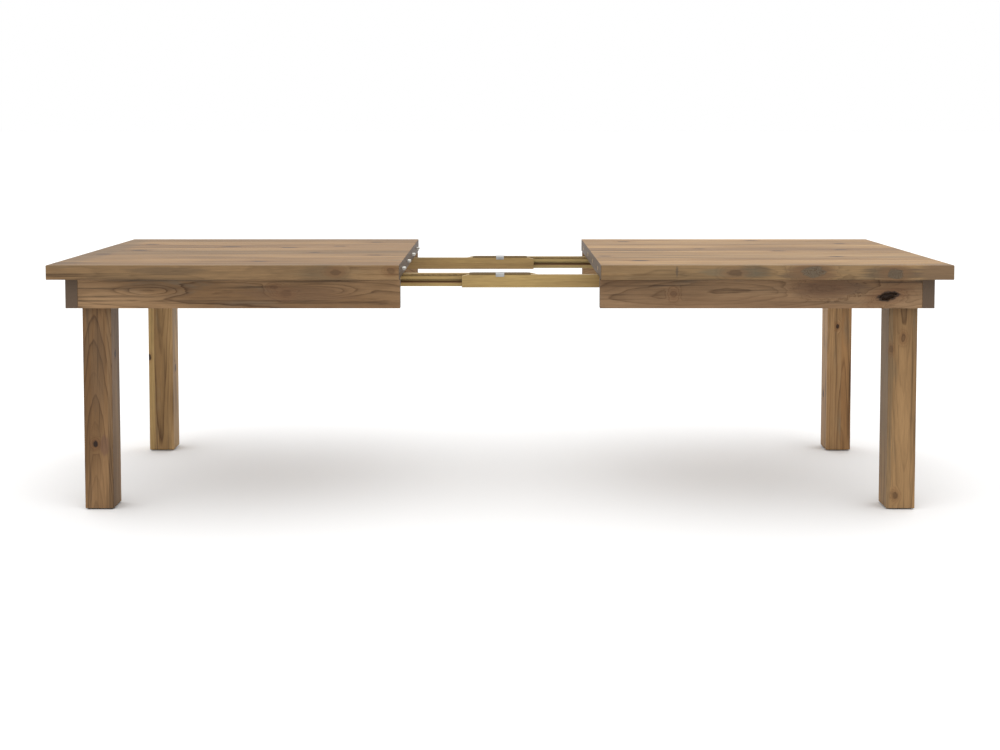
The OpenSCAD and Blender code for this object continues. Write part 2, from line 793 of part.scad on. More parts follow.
lock_lever(1);  // back_lock_lever
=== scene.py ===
# An extendable dining table of knotty wood, pulled apart on two wooden slides.
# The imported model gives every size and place; this script gives the pieces their looks.
import json
import math
import bmesh
import bpy
import numpy as np
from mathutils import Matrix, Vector

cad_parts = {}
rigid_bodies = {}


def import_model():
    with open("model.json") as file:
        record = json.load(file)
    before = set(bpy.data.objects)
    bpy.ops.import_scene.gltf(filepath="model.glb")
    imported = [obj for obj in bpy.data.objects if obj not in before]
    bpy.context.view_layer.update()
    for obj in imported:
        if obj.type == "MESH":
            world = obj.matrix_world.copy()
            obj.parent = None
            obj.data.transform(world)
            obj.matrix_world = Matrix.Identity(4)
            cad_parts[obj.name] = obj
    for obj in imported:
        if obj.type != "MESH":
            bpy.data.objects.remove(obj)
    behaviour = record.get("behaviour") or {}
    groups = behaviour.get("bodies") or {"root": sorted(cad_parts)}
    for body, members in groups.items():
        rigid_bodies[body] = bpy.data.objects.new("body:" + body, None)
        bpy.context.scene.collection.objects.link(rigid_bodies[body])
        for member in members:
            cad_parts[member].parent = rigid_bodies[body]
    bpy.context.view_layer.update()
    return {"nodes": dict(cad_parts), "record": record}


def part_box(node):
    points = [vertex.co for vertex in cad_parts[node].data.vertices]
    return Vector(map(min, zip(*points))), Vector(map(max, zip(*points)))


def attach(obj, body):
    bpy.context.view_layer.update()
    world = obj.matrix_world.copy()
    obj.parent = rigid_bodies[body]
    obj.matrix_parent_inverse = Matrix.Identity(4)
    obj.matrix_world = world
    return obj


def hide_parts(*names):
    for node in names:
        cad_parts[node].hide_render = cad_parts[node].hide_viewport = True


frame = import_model()
nodes = frame["nodes"]
scene = bpy.context.scene
record = frame["record"]
bodyOf = {n: b for b, names in record["behaviour"]["bodies"].items() for n in names}
slotOf = {s["node"]: s["material_slot"] for s in record["subparts"]}
halves = ("left", "right")
print("frame loaded:", len(nodes), "nodes")


# shader maths

class Wire:
    # an output socket that can be used in a Python expression
    def __init__(self, shader, socket):
        self.shader, self.socket = shader, socket

    def calc(self, operation, first, second=0.0):
        return self.shader.add("Math", {"operation": operation}, {0: first, 1: second})

    def __add__(self, other): return self.calc("ADD", self, other)
    def __radd__(self, other): return self.calc("ADD", other, self)
    def __sub__(self, other): return self.calc("SUBTRACT", self, other)
    def __rsub__(self, other): return self.calc("SUBTRACT", other, self)
    def __mul__(self, other): return self.calc("MULTIPLY", self, other)
    def __rmul__(self, other): return self.calc("MULTIPLY", other, self)
    def __truediv__(self, other): return self.calc("DIVIDE", self, other)
    def __pow__(self, other): return self.calc("POWER", self, other)


class Shader:
    # one material's node tree
    def __init__(self, name):
        self.material = bpy.data.materials.new(name)
        self.material.use_nodes = True
        self.tree = self.material.node_tree
        self.tree.nodes.clear()

    def add(self, kind, settings=None, sockets=None, out=0):
        # kind is the node's type without its prefix; settings are set before sockets are filled
        node = self.tree.nodes.new("ShaderNode" + kind)
        for key, value in (settings or {}).items():
            if key == "stops":
                ramp = node.color_ramp
                while len(ramp.elements) < len(value):
                    ramp.elements.new(0.5)
                for element, (place, colour) in zip(ramp.elements, value):
                    element.position = place
                    element.color = tuple(colour) + (1.0,) if len(colour) == 3 else colour
            else:
                setattr(node, key, value)
        for key, value in (sockets or {}).items():
            if isinstance(value, Wire):
                self.tree.links.new(value.socket, node.inputs[key])
            else:
                node.inputs[key].default_value = value
        return Wire(self, node.outputs[out])

    def vector(self, x, y, z):
        return self.add("CombineXYZ", None, {0: x, 1: y, 2: z})

    def scaled(self, vector, scale):
        return self.add("VectorMath", {"operation": "MULTIPLY"}, {0: vector, 1: scale})

    def noise(self, vector, scale, detail=3.0, rough=0.55, twist=0.0):
        settings = {"noise_dimensions": "3D"}
        return self.add("TexNoise", settings, {"Vector": self.scaled(vector, scale), "Scale": 1.0,
            "Detail": detail, "Roughness": rough, "Distortion": twist})

    def chance(self, value, out=0):
        # a random number, or with out=1 a random colour, that stays the same for the same value
        return self.add("TexWhiteNoise", {"noise_dimensions": "1D"}, {"W": value}, out)

    def ease(self, value, low, high):
        # 0 below low, 1 above high, smooth between; low may be the larger
        settings = {"interpolation_type": "SMOOTHSTEP"}
        if low < high:
            return self.add("MapRange", settings, {"Value": value, "From Min": low, "From Max": high})
        return 1.0 - self.add("MapRange", settings, {"Value": value, "From Min": high, "From Max": low})

    def ramp(self, value, stops):
        # a curve through (place, brightness) pairs
        stops = [(place, (level,) * 3) for place, level in stops]
        return self.add("ValToRGB", {"stops": stops}, {0: value})

    def most(self, first, second):
        return self.add("Math", {"operation": "MAXIMUM"}, {0: first, 1: second})

    def parts(self, vector):
        node = self.add("SeparateXYZ", None, {0: vector}).socket.node
        return [Wire(self, output) for output in node.outputs]

    def mix(self, factor, first, second, mode="MIX"):
        settings = {"data_type": "RGBA", "blend_type": mode, "clamp_factor": True}
        first, second = [c if isinstance(c, Wire) else tuple(c) + (1.0,) for c in (first, second)]
        return self.add("Mix", settings, {0: factor, 6: first, 7: second}, out=2)

    def finish(self, sockets, bump=None, depth=0.0005, strength=0.5):
        if bump is not None:
            values = {"Strength": strength, "Distance": depth, "Height": bump}
            sockets["Normal"] = self.add("Bump", None, values)
        sockets = {k: tuple(v) + (1.0,) if k == "Base Color" and not isinstance(v, Wire) else v
            for k, v in sockets.items()}
        surface = self.add("BsdfPrincipled", None, sockets)
        output = self.tree.nodes.new("ShaderNodeOutputMaterial")
        self.tree.links.new(surface.socket, output.inputs["Surface"])
        return self.material


def grainVector(shader, along):
    # object coordinates turned so that the grain runs along the first of the three
    x, y, z = shader.parts(shader.add("TexCoord", out=3))
    return {"x": (x, y, z), "y": (y, x, z), "z": (z, x, y)}[along]


# wood

# Colours are linear and lengths in metres. ring is the spacing of the rings. heart is where the tree's
# middle lies across the board, lean and bow how it drifts along it, and scatter how much each of
# these three changes from board to board.
knottyLook = {
    "pale": (0.390, 0.245, 0.125), "tan": (0.190, 0.108, 0.048), "late": (0.068, 0.034, 0.014),
    "streak": (0.036, 0.021, 0.012), "red": (0.160, 0.076, 0.034), "grey": (0.165, 0.128, 0.088),
    "knot": (0.022, 0.012, 0.008), "paleKnot": (0.235, 0.200, 0.155), "endGrain": (0.080, 0.058, 0.043),
    "ring": 0.0055, "heart": (0.0, -0.045), "lean": (0.0, 0.0), "bow": (0.0, 0.0),
    "scatter": (0.09, 0.045, 0.055), "waver": 0.8, "figure": 1.0, "streaks": 0.80, "blotch": 1.0,
    "minerals": 0.75, "stain": (1.0, 1.0, 1.0), "roughness": 0.50,
}


def nearness(shader, grain, mark):
    # how many of its own sizes a point is from a mark's middle; grain holds the three grain coordinates
    a, b, c = grain
    across, depth = (c, b) if mark.get("face") == "b" else (b, c)
    along = a - mark["at"][0]
    side = across - mark["at"][1] - along * mark.get("slant", 0.0)
    spread = along * along / mark["size"][0] ** 2 + side * side / mark["size"][1] ** 2
    if "reach" in mark:      # a mark that ends inside the piece, seen on one face only
        spread = spread + shader.ease(depth * mark["toward"], mark["reach"] + 0.004, mark["reach"]) * 60
    return spread ** 0.5


def knotMarks(shader, grain, field, ragged, knots, ring):
    # each knot bends the rings round itself; returns the field and the masks of core, glow and pale core
    core, glow, pale, inside = 0.0, 0.0, 0.0, 0.0
    for knot in knots:
        near = nearness(shader, grain, knot) + ragged * knot.get("ragged", 1.0)
        pull = shader.ease(near, 3.6, 0.2)
        field = field + pull * pull * (knot.get("swirl", 3.0) * ring)
        heart = shader.ease(near, 1.15, 0.75)
        core = shader.most(core, heart * knot.get("dark", 1.0))
        pale = shader.most(pale, heart * knot.get("pale", 0.0))
        glow = shader.most(glow, shader.ease(near, 2.8, 0.9) * knot.get("glow", 1.0))
        inside = inside + shader.ease(near, 1.3, 1.1) * near
    return field, core, glow, pale, inside


def woodMaterial(name, along, look, seed=0.0, seams=(), knots=(), stainsAndShade=(), centre=(0.0, 0.0, 0.0)):
    shader = Shader(name)
    look = {**knottyLook, **look}
    grain = a, b, c = grainVector(shader, along)
    board = seed
    for seam in seams:      # glued boards: each has its own figure and tone
        board = board + shader.add("Math", {"operation": "GREATER_THAN"}, {0: b, 1: seam})
    one, two, three = shader.parts(shader.chance(board, 1))
    place = shader.vector(a + one * 9.0, b + two * 5.0, c + three * 3.0)
    wander = shader.noise(place, (1.1, 5.0, 5.0), 2.0) - 0.5
    ripple = shader.noise(place, (5.0, 30.0, 30.0), 3.0) - 0.5
    run = a - centre[0]
    heart, lean, bow, scatter = look["heart"], look["lean"], look["bow"], look["scatter"]
    sideways = (b - (centre[1] + heart[0]) + (two - 0.5) * scatter[0] + wander * 0.05
        + run * ((one - 0.5) * scatter[2] + lean[0]) + run * run * bow[0])
    deep = (c - (centre[2] + heart[1]) + (three - 0.5) * scatter[1] + ripple * 0.006
        + run * ((two - 0.5) * scatter[2] + lean[1]) + run * run * bow[1])
    field = (sideways * sideways + deep * deep) ** 0.5
    ragged = (shader.noise(place, (45.0, 90.0, 90.0), 3.0) - 0.5) * 1.1
    field, core, glow, pale, inside = knotMarks(shader, grain, field, ragged, knots, look["ring"])
    waver = shader.noise(place, (5.0, 42.0, 42.0), 2.0) - 0.5
    phase = field / look["ring"] + ripple * 1.6 + waver * look["waver"]
    # how dark the wood is through one ring: pale, then slowly darker, and pale again at once
    growth = [(0.0, 0.05), (0.45, 0.08), (0.76, 0.42), (0.90, 1.0), (1.0, 0.05)]
    lateWood = shader.ramp(phase.calc("FRACT", phase), growth)
    year = shader.chance(phase.calc("FLOOR", phase) + board * 31.0)
    broad = shader.noise(place, (1.4, 8.0, 8.0), 3.0)
    thin = shader.noise(place, (1.6, 75.0, 75.0), 5.0, 0.62)
    cloud = shader.noise(place, (3.0, 17.0, 17.0), 4.0, 0.6, 0.6)
    fibre = shader.noise(place, (22.0, 620.0, 620.0), 3.0, 0.6)
    pores = shader.noise(place, (60.0, 1500.0, 1500.0), 2.0, 0.5)
    lateValue = lateWood * (shader.ease(broad, 0.25, 0.75) * 0.5 + 0.3) * (year + 0.4)
    # from the broad tones to the fine ones
    blotch = shader.ease(broad, 0.30, 0.72) * look["blotch"]
    tone = shader.mix(blotch + year * 0.15, look["pale"], look["tan"])
    tone = shader.mix(shader.ease(one, 0.2, 1.0) * 0.30, tone, look["grey"])
    tone = shader.mix(shader.ease(three, 0.5, 1.0) * 0.30, tone, look["red"])
    tone = shader.mix(shader.ease(cloud, 0.56, 0.74) * look["minerals"], tone, look["grey"])
    tone = shader.mix(lateValue * look["figure"], tone, look["late"])
    tone = shader.mix(shader.ease(thin, 0.51, 0.70) * look["streaks"], tone, look["streak"])
    # each mark tints the tone: real stains on most pieces, and painted shade in the rails' grooves
    for stain in stainsAndShade:
        spread = nearness(shader, grain, stain) + (cloud - 0.5) * 1.2 + (thin - 0.5) * 2.5
        tone = shader.mix(shader.ease(spread, 1.25, 0.70) * stain.get("amount", 0.6), tone, stain["tone"])
    if knots:
        tone = shader.mix(glow * 0.45 * (thin * 1.2 + 0.3), tone, look["red"])
        swirl = inside * 4.0 + ragged * 2.5
        bands = shader.ramp(swirl.calc("FRACT", swirl), [(0.0, 0.0), (0.45, 0.10), (0.75, 1.0), (1.0, 0.05)])
        tone = shader.mix(core, tone, shader.mix(bands * 0.6, look["knot"], look["late"]))
        tone = shader.mix(pale, tone, shader.mix(bands * 0.9, look["paleKnot"], look["streak"]))
    tone = shader.mix(1.0, tone, shader.ramp(fibre, [(0.25, 0.80), (0.75, 1.14)]), "MULTIPLY")
    # end grain drinks the stain and goes dark and grey
    facing = shader.parts(shader.add("TexCoord", out=1))["xyz".index(along)]
    endMask = shader.ease(facing.calc("ABSOLUTE", facing), 0.55, 0.85)
    endTone = shader.mix(lateWood * 0.5, look["endGrain"], tuple(0.55 * v for v in look["endGrain"]))
    endTone = shader.mix(shader.noise(place, (400.0, 400.0, 400.0), 2.0) * 0.35, endTone, look["tan"])
    tone = shader.mix(endMask, tone, endTone)
    tone = shader.mix(1.0, tone, look["stain"], "MULTIPLY")
    rough = fibre * 0.14 + look["roughness"] - core * 0.05
    height = fibre * 0.35 + pores * 0.25 - lateValue * 0.25 - core * 0.9
    return shader.finish({"Base Color": tone, "Roughness": rough, "Specular IOR Level": 0.2},
        height, 0.0006, 0.55)


# metals and plastics

def metalMaterial(name, colour, dull, rough, metallic, grain, spots):
    shader = Shader(name)
    place = shader.add("TexCoord", out=3)
    fine = shader.noise(place, (grain, grain, grain * 0.2), 2.0)
    cloud = shader.noise(place, (60.0, 60.0, 60.0), 3.0)
    tone = shader.mix(shader.ease(cloud, 0.35, 0.7) * 0.6, colour, dull)
    return shader.finish({"Base Color": tone, "Metallic": metallic,
        "Roughness": rough + cloud * spots + fine * 0.08}, fine, 0.0001, 0.25)


metals = {
    "zinc_steel": ((0.38, 0.38, 0.37), (0.26, 0.26, 0.26), 0.34, 1.0, 700.0, 0.25),
    "dark_steel": ((0.10, 0.095, 0.09), (0.05, 0.045, 0.04), 0.42, 1.0, 800.0, 0.2),
    "nickel": ((0.50, 0.49, 0.45), (0.34, 0.33, 0.31), 0.18, 1.0, 300.0, 0.1),
    "brass": ((0.72, 0.52, 0.24), (0.45, 0.31, 0.13), 0.28, 1.0, 600.0, 0.2),
    "glide_plastic": ((0.62, 0.60, 0.54), (0.50, 0.48, 0.43), 0.45, 0.0, 500.0, 0.1),
}
materialOf = {}
for slot, (colour, dull, rough, metallic, grain, spots) in metals.items():
    materialOf[slot] = metalMaterial(slot, colour, dull, rough, metallic, grain, spots)
print("metals made")


# meshes

def paint(piece, material):
    piece.data.materials.clear()
    piece.data.materials.append(material)


def dress(piece, node, material):
    # the piece rides on its node's body and takes its place and finish
    paint(piece, material)
    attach(piece, bodyOf[node])
    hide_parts(node)
    return piece


def newPiece(name, bm):
    mesh = bpy.data.meshes.new(name)
    bm.normal_update()
    bm.to_mesh(mesh)
    bm.free()
    piece = bpy.data.objects.new(name, mesh)
    scene.collection.objects.link(piece)
    return piece


def mergedCopy(node):
    bm = bmesh.new()
    bm.from_mesh(nodes[node].data)
    bmesh.ops.remove_doubles(bm, verts=bm.verts, dist=1e-6)
    bmesh.ops.dissolve_limit(bm, angle_limit=math.radians(0.4), verts=bm.verts, edges=bm.edges)
    return bm


def easeEdges(bm, width, segments=3, shortest=0.010, angle=30.0):
    edges = [e for e in bm.edges if len(e.link_faces) == 2 and e.calc_length() > shortest
        and e.calc_face_angle() > math.radians(angle)]
    bmesh.ops.bevel(bm, geom=edges, offset=width, offset_type="OFFSET", segments=segments, profile=0.5,
        affect="EDGES", clamp_overlap=False)


def easedPiece(node, material, width, segments=3, shortest=0.010):
    bm = mergedCopy(node)
    easeEdges(bm, width, segments, shortest)
    return dress(newPiece(node + "_eased", bm), node, material)


def cutAway(piece, cutter):
    # takes the closed cutter out of the piece
    cut = piece.modifiers.new("cut", "BOOLEAN")
    cut.operation, cut.object, cut.solver = "DIFFERENCE", cutter, "EXACT"
    graph = bpy.context.evaluated_depsgraph_get()
    mesh = bpy.data.meshes.new_from_object(piece.evaluated_get(graph))
    piece.modifiers.clear()
    piece.data = mesh
    bpy.data.objects.remove(cutter)


# tops

topSizes = {
    "seams": (-0.401, -0.278, -0.139, -0.012, 0.106, 0.251, 0.380),     # glue lines across the table
    "groove": 0.0004,
    "edge": 0.0024,
    "steps": 4,
    "overrun": 0.002,       # how far a drill starts outside and ends past its bush
}


def topOutline(low, high, inset, sizes):
    # the section across the grain, a ring of (y, z) with a fine groove at each seam
    y0, y1, z0, z1 = low[1] + inset, high[1] - inset, low[2] + inset, high[2] - inset
    radius = sizes["edge"] - inset * 0.9
    arc = [math.pi / 2 * i / sizes["steps"] for i in range(sizes["steps"] + 1)]
    groove = sizes["groove"]

    def rounded(y, z, sy, sz, order):
        turn = arc if order > 0 else arc[::-1]
        return [(y - sy * radius * (1 - math.sin(t)), z - sz * radius * (1 - math.cos(t))) for t in turn]
    top = [p for s in sizes["seams"] for p in ((s - groove, z1), (s, z1 - groove), (s + groove, z1))]
    base = [p for s in sizes["seams"][::-1] for p in ((s + groove, z0), (s, z0 + groove), (s - groove, z0))]
    return (rounded(y0, z1, -1, 1, -1) + top + rounded(y1, z1, 1, 1, 1)
        + rounded(y1, z0, 1, -1, -1) + base + rounded(y0, z0, -1, -1, 1))


def topPiece(half, material):
    node = half + "_top"
    low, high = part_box(node)
    sizes = topSizes
    bm = bmesh.new()
    edge, steps = sizes["edge"], sizes["steps"]
    arc = [math.pi / 2 * i / steps for i in range(steps + 1)]
    stations = [(low[0] + edge * (1 - math.sin(t)), edge * (1 - math.cos(t))) for t in arc[::-1]]
    stations += [(high[0] - edge * (1 - math.sin(t)), edge * (1 - math.cos(t))) for t in arc]
    rings = [[bm.verts.new((x, y, z)) for y, z in topOutline(low, high, inset, sizes)]
        for x, inset in stations]
    count = len(rings[0])
    for first, second in zip(rings, rings[1:]):
        for i in range(count):
            j = (i + 1) % count
            bm.faces.new((first[i], first[j], second[j], second[i]))
    # the ends are closed board by board
    corner, seams = steps + 1, len(sizes["seams"])
    for ring in (rings[0], rings[-1]):
        topSide = ring[:2 * corner + 3 * seams]
        baseSide = ring[2 * corner + 3 * seams:][::-1]
        cuts = [corner + 3 * i + 1 for i in range(seams)]
        starts, ends = [0] + cuts, cuts + [len(topSide) - 1]
        for start, end in zip(starts, ends):
            bm.faces.new(topSide[start:end + 1] + baseSide[start:end + 1][::-1])
    bmesh.ops.triangulate(bm, faces=[face for face in bm.faces if len(face.verts) > 4])
    bmesh.ops.recalc_face_normals(bm, faces=bm.faces)
    return dress(newPiece(node + "_boards", bm), node, material)


def drillHoles(piece, islands, radius, deep, sizes):
    # round holes along X at each island's place, cut in one go
    bm = bmesh.new()
    for low, high in islands:
        y, z = (low[1] + high[1]) / 2, (low[2] + high[2]) / 2
        drill = bmesh.ops.create_cone(bm, cap_ends=True, segments=40, radius1=radius, radius2=radius,
            depth=deep)
        for vert in drill["verts"]:
            vert.co = Vector((low[0] + vert.co.z + deep / 2 - sizes["overrun"], y + vert.co.x, z + vert.co.y))
    bmesh.ops.recalc_face_normals(bm, faces=bm.faces)
    cutAway(piece, newPiece("drill", bm))


def islandsOf(node):
    # the vertices of each separate solid of a node, as arrays
    bm = bmesh.new()
    bm.from_mesh(nodes[node].data)
    bmesh.ops.remove_doubles(bm, verts=bm.verts, dist=1e-6)
    seen, found = set(), []
    for vert in bm.verts:
        if vert in seen:
            continue
        stack, island = [vert], []
        seen.add(vert)
        while stack:
            v = stack.pop()
            island.append(tuple(v.co))
            for e in v.link_edges:
                w = e.other_vert(v)
                if w not in seen:
                    seen.add(w)
                    stack.append(w)
        found.append(np.array(island))
    bm.free()
    return sorted(found, key=lambda p: tuple(p.mean(0).round(4)))


frontEdge = {"face": "b", "toward": -1.0, "reach": 0.470}      # marks seen on a top's front edge only
topKnots = {
    "left": [
        {"at": (-1.244, 0.273), "size": (0.026, 0.012)}, {"at": (-1.225, 0.020), "size": (0.030, 0.012)},
        {"at": (-0.941, 0.166), "size": (0.032, 0.013)}, {"at": (-0.735, 0.133), "size": (0.028, 0.011)},
        {"at": (-1.305, -0.126), "size": (0.026, 0.012)}, {"at": (-0.750, -0.378), "size": (0.026, 0.012)},
        {"at": (-0.564, 0.191), "size": (0.022, 0.011)}, {"at": (-0.410, -0.162), "size": (0.022, 0.010)},
        {"at": (-0.620, -0.060), "size": (0.020, 0.010)}, {"at": (-0.450, 0.367), "size": (0.024, 0.011)},
        {"at": (-0.497, 0.744), "size": (0.017, 0.009), "dark": 0.35, "swirl": 6.0, **frontEdge},
        {"at": (-0.330, 0.748), "size": (0.014, 0.009), "dark": 0.35, "swirl": 5.0, **frontEdge},
    ],
    "right": [
        {"at": (0.945, 0.744), "size": (0.036, 0.018), "pale": 0.35, "dark": 0.8, "swirl": 7.0, **frontEdge},
        {"at": (1.193, 0.738), "size": (0.026, 0.016), "pale": 0.30, "dark": 0.8, "swirl": 7.0, **frontEdge},
        {"at": (0.710, 0.742), "size": (0.024, 0.011), "dark": 0.45, "swirl": 7.0, **frontEdge},
        {"at": (0.453, 0.390), "size": (0.024, 0.012)}, {"at": (0.340, -0.199), "size": (0.022, 0.010)},
        {"at": (0.439, -0.355), "size": (0.028, 0.012)}, {"at": (0.939, -0.005), "size": (0.028, 0.012)},
        {"at": (0.928, 0.440), "size": (0.024, 0.012)}, {"at": (1.160, 0.040), "size": (0.024, 0.012)},
        {"at": (1.088, -0.216), "size": (0.026, 0.011)}, {"at": (1.220, 0.300), "size": (0.022, 0.012)},
        {"at": (0.684, 0.080), "size": (0.020, 0.010)},
    ],
}
topLook = {"endGrain": (0.064, 0.045, 0.032), "streaks": 0.70, "minerals": 0.50, "blotch": 0.70,
    "figure": 0.85}
topTones = {"left": (0.88, 0.83, 0.70), "right": (1.06, 1.03, 0.90)}
topStains = {
    "left": [
        {"at": (-0.840, 0.742), "size": (0.640, 0.060),
            "tone": (0.250, 0.175, 0.105), "amount": 0.35, **frontEdge},
        {"at": (-0.530, 0.742), "size": (0.085, 0.026),
            "tone": (0.105, 0.074, 0.048), "amount": 0.55, **frontEdge},
        {"at": (-1.340, 0.000), "size": (0.060, 0.500), "tone": (0.120, 0.088, 0.062), "amount": 0.45},
        {"at": (-1.000, 0.748), "size": (0.120, 0.012),
            "tone": (0.095, 0.067, 0.045), "amount": 0.50, **frontEdge},
    ],
    "right": [
        {"at": (0.840, 0.742), "size": (0.640, 0.060),
            "tone": (0.110, 0.078, 0.048), "amount": 0.50, **frontEdge},
        {"at": (0.940, 0.744), "size": (0.072, 0.030),
            "tone": (0.092, 0.064, 0.044), "amount": 0.75, **frontEdge},
        {"at": (1.180, 0.738), "size": (0.085, 0.024),
            "tone": (0.086, 0.061, 0.042), "amount": 0.75, **frontEdge},
        {"at": (0.770, 0.746), "size": (0.045, 0.016),
            "tone": (0.082, 0.061, 0.043), "amount": 0.65, **frontEdge},
        {"at": (0.700, 0.742), "size": (0.090, 0.014),
            "tone": (0.110, 0.095, 0.070), "amount": 0.50, **frontEdge},
        {"at": (1.355, 0.742), "size": (0.090, 0.040),
            "tone": (0.110, 0.070, 0.050), "amount": 0.55, **frontEdge},
        {"at": (0.534, 0.742), "size": (0.004, 0.018),
            "tone": (0.080, 0.060, 0.045), "amount": 0.70, **frontEdge},
    ],
}
for half, seed in (("left", 3.0), ("right", 11.0)):
    low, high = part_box(half + "_top")
    middle = ((low[0] + high[0]) / 2, 0.0, high[2])
    look = {**topLook, "stain": topTones[half]}
    material = woodMaterial(half + "_top_wood", "x", look, seed, topSizes["seams"], topKnots[half],
        topStains[half], middle)
    piece = topPiece(half, material)
    if half == "right":
        bushes = [(p.min(0), p.max(0)) for p in islandsOf("socket_bushes")]
        bushRadius = (bushes[0][1][1] - bushes[0][0][1]) / 2
        bushDepth = bushes[0][1][0] - bushes[0][0][0] + 2 * topSizes["overrun"]
        drillHoles(piece, bushes, bushRadius, bushDepth, topSizes)
        paint(piece, material)
print("tops made")


# aprons

apronSizes = {
    "edge": 0.0016,
    "knotPlace": (1.184, 0.666),
    "knotSize": (0.027, 0.011),
    "knotDepth": 0.016,
    "knotTilt": 12.0,
    "ragged": ((3, 0.10, 0.7), (7, 0.06, 0.0), (13, 0.03, 0.0)),    # waves round the hole: count, size, shift
}
outerFace = {"face": "b"}
bareSwirl = {"dark": 0.0, "ragged": 0.25, **outerFace}      # grain that turns round nothing, with no knot
apronLooks = {
    "left_front": {
        "look": {"heart": (0.062, -0.008), "bow": (-0.05, 0.01), "lean": (0.02, 0.02),
            "scatter": (0.0, 0.0, 0.0), "ring": 0.0105, "waver": 0.6, "figure": 1.2},
        "knots": [{"at": (-0.690, 0.694), "size": (0.014, 0.007), "dark": 0.30, **outerFace},
            {"at": (-0.655, 0.674), "size": (0.020, 0.012), "dark": 0.2, "swirl": 5.0, **outerFace},
            {"at": (-1.075, 0.682), "size": (0.055, 0.0100), "glow": 0.0, "swirl": 3.2, **bareSwirl},
            {"at": (-0.570, 0.680), "size": (0.075, 0.0105), "glow": 0.3, "swirl": 4.0, **bareSwirl}],
        "stainsAndShade": [
            {"at": (-0.640, 0.672), "size": (0.150, 0.030), "tone": (0.150, 0.085, 0.045), **outerFace},
            {"at": (-1.020, 0.720), "size": (0.230, 0.010), "tone": (0.090, 0.070, 0.050), **outerFace}],
    },
    "right_front": {
        "look": {"heart": (0.050, 0.010), "bow": (-0.12, 0.0), "lean": (-0.03, -0.03),
            "scatter": (0.0, 0.0, 0.0), "ring": 0.0068},
        "knots": [{"at": (1.184, 0.666), "size": (0.036, 0.015), "slant": 0.2, "glow": 1.3, "swirl": 6.0,
                **outerFace},
            {"at": (0.530, 0.672), "size": (0.010, 0.012), "dark": 0.25, "swirl": 4.0, **outerFace},
            {"at": (0.985, 0.690), "size": (0.050, 0.016), "dark": 0.15, "swirl": 8.0, **outerFace}],
        "stainsAndShade": [{"at": (1.000, 0.690), "size": (0.110, 0.026), "tone": (0.085, 0.055, 0.036), **outerFace},
            {"at": (0.800, 0.640), "size": (0.300, 0.020), "tone": (0.180, 0.100, 0.050), "amount": 0.4,
                **outerFace}],
    },
    "left_back": {"look": {"bow": (0.2, 0.0)},
        "knots": [{"at": (-0.560, 0.680), "size": (0.020, 0.010), **outerFace}]},
    "right_back": {"look": {"bow": (0.2, 0.0)},
        "knots": [{"at": (0.860, 0.670), "size": (0.018, 0.010), **outerFace}]},
}


def openKnot(piece, sizes, outer):
    # a knot that has fallen out leaves a ragged oval hole in the face
    bm = bmesh.new()
    bmesh.ops.create_icosphere(bm, subdivisions=4, radius=1.0)
    tilt = math.radians(sizes["knotTilt"])
    for vert in bm.verts:
        x, y, z = vert.co
        around = math.atan2(z, x)
        ragged = 1 + sum(size * math.sin(count * around + shift) for count, size, shift in sizes["ragged"])
        u, v = x * sizes["knotSize"][0] * ragged, z * sizes["knotSize"][1] * ragged
        vert.co = Vector((sizes["knotPlace"][0] + u * math.cos(tilt) - v * math.sin(tilt),
            outer + y * sizes["knotDepth"], sizes["knotPlace"][1] + u * math.sin(tilt) + v * math.cos(tilt)))
    cutAway(piece, newPiece("knotHole", bm))


for number, half in enumerate(halves):
    for side in ("front", "back"):
        node = f"{half}_{side}_apron"
        low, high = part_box(node)
        looks = apronLooks[f"{half}_{side}"]
        middle = ((low[0] + high[0]) / 2, low[1], (low[2] + high[2]) / 2)
        seed = 21.0 + number * 4 + (side == "back") * 9
        material = woodMaterial(node + "_wood", "x", looks["look"], seed, (), looks["knots"],
            looks.get("stainsAndShade", ()), middle)
        piece = easedPiece(node, material, apronSizes["edge"])
        if (half, side) == ("right", "front"):
            openKnot(piece, apronSizes, low[1])
            paint(piece, material)
    node = half + "_end_apron"
    low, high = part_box(node)
    middle = (0.0, (low[0] + high[0]) / 2, (low[2] + high[2]) / 2)
    easedPiece(node, woodMaterial(node + "_wood", "y", {}, 41.0 + number, centre=middle), apronSizes["edge"])
print("aprons made")


# legs

legSizes = {"edge": 0.0020}
